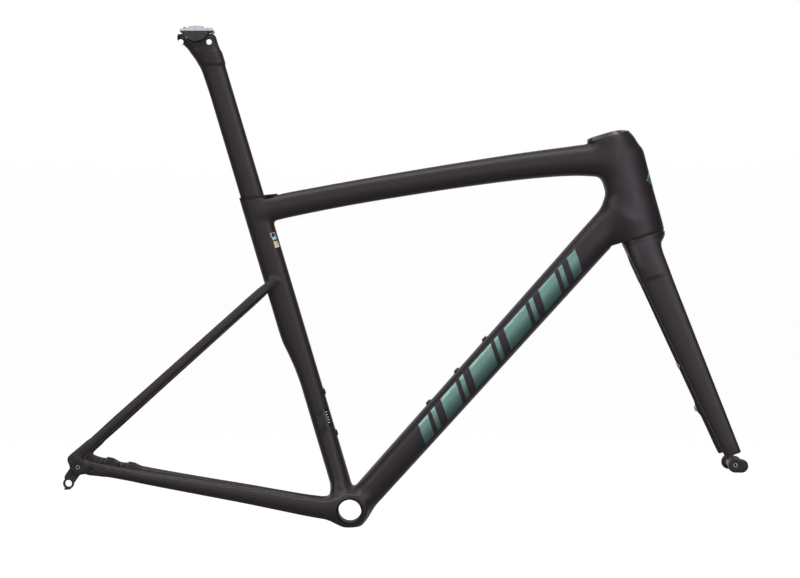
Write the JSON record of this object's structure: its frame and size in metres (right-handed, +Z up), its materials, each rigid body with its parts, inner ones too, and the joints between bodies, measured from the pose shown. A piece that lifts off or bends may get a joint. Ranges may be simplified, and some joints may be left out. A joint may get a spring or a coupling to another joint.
{
  "type": "road bicycle frameset",
  "caption": "Satin dark carbon disc-brake road bicycle frame with fork, headset, aero seatpost and saddle clamp, ready for wheels and a crankset.",
  "frame": {"origin": "centre of the bottom bracket's threaded shell", "axes": "+X forward along the bicycle, +Y to the rider's left, +Z up with the bicycle level on its wheels"},
  "size_m": [1.0207, 0.1643, 0.7523],
  "materials": {
    "carbon_paint": "satin",
    "bare_carbon": "matte",
    "silver_alloy": "satin",
    "black_anodised": "satin",
    "black_bolts": "satin",
    "bearing_steel": "satin",
    "rubber": "matte"
  },
  "bodies": {
    "frame": {"head_tube": "carbon_paint", "top_tube": "carbon_paint", "down_tube": "carbon_paint", "seat_tube": "carbon_paint", "bottom_bracket_lug": "carbon_paint", "bottom_bracket_sleeve": "silver_alloy", "chainstay_right": "carbon_paint", "chainstay_left": "carbon_paint", "seatstay_right": "carbon_paint", "seatstay_left": "carbon_paint", "dropout_right": "carbon_paint", "dropout_left": "carbon_paint", "derailleur_hanger": "black_anodised", "hanger_screw": "bearing_steel", "wire_grommet": "rubber", "rear_brake_inserts": "silver_alloy", "lower_bearing_outer": "bearing_steel", "upper_bearing_outer": "bearing_steel", "headset_cover": "black_anodised", "wedge_bolt": "black_bolts", "down_tube_inserts": "silver_alloy", "down_tube_bolts": "black_bolts", "seat_tube_inserts": "silver_alloy", "seat_tube_bolts": "black_bolts", "front_derailleur_plate": "black_anodised", "front_derailleur_bolts": "black_bolts"},
    "fork": {"steerer": "bare_carbon", "fork_crown": "carbon_paint", "fork_blade_right": "carbon_paint", "fork_blade_left": "carbon_paint", "fork_dropout_right": "carbon_paint", "fork_dropout_left": "carbon_paint", "front_brake_inserts": "silver_alloy", "lower_bearing_inner": "bearing_steel", "upper_bearing_inner": "bearing_steel", "compression_ring": "black_anodised"},
    "seatpost": {"seatpost": "carbon_paint", "barrel_nut_rear": "bearing_steel", "barrel_nut_front": "bearing_steel"},
    "saddle_clamp": {"saddle_cradle": "black_anodised", "saddle_clamp_plate": "silver_alloy", "clamp_bolt_rear": "black_bolts", "clamp_bolt_front": "bearing_steel"},
    "lower_balls": {"lower_ball_cage": "silver_alloy"},
    "upper_balls": {"upper_ball_cage": "silver_alloy"},
    "seal": {"seat_seal": "rubber"},
    "wedge": {"seatpost_wedge": "silver_alloy"},
    "rear_through_axle": {"rear_axle": "silver_alloy"},
    "front_through_axle": {"front_axle": "silver_alloy"}
  },
  "joints": [
    {"name": "steering", "type": "hinge", "parent": "frame", "child": "fork", "pos_m": [0.4352, 0, 0.4104], "axis": [-0.284, 0, 0.9588], "range_deg": [-80, 80]},
    {"name": "lower_ball_roll", "type": "hinge", "parent": "frame", "child": "lower_balls", "pos_m": [0.43364, 0, 0.41567], "axis": [-0.284, 0, 0.9588], "range_deg": [-38, 38]},
    {"name": "upper_ball_roll", "type": "hinge", "parent": "frame", "child": "upper_balls", "pos_m": [0.39253, 0, 0.55446], "axis": [-0.284, 0, 0.9588], "range_deg": [-38, 38]},
    {"name": "seatpost_height", "type": "slide", "parent": "frame", "child": "seatpost", "axis": [-0.2862, 0, 0.9582], "range_m": [-0.078, 0.05]},
    {"name": "saddle_tilt", "type": "hinge", "parent": "seatpost", "child": "saddle_clamp", "pos_m": [-0.2315, 0, 0.7258], "axis": [0, 1, 0], "range_deg": [-4, 4]},
    {"name": "seal_lift", "type": "slide", "parent": "frame", "child": "seal", "axis": [-0.2862, 0, 0.9582], "range_m": [0, 0.05]},
    {"name": "wedge_release", "type": "slide", "parent": "frame", "child": "wedge", "axis": [0.2862, 0, -0.9582], "range_m": [0, 0.004]},
    {"name": "rear_axle_pull", "type": "slide", "parent": "frame", "child": "rear_through_axle", "axis": [0, 1, 0], "range_m": [0, 0.175]},
    {"name": "front_axle_pull", "type": "slide", "parent": "fork", "child": "front_through_axle", "axis": [0, 1, 0], "range_m": [0, 0.13]}
  ],
  "couplings": [
    {"joint": "lower_ball_roll", "follows": "steering", "ratio": 0.4606},
    {"joint": "upper_ball_roll", "follows": "steering", "ratio": 0.4562}
  ]
}
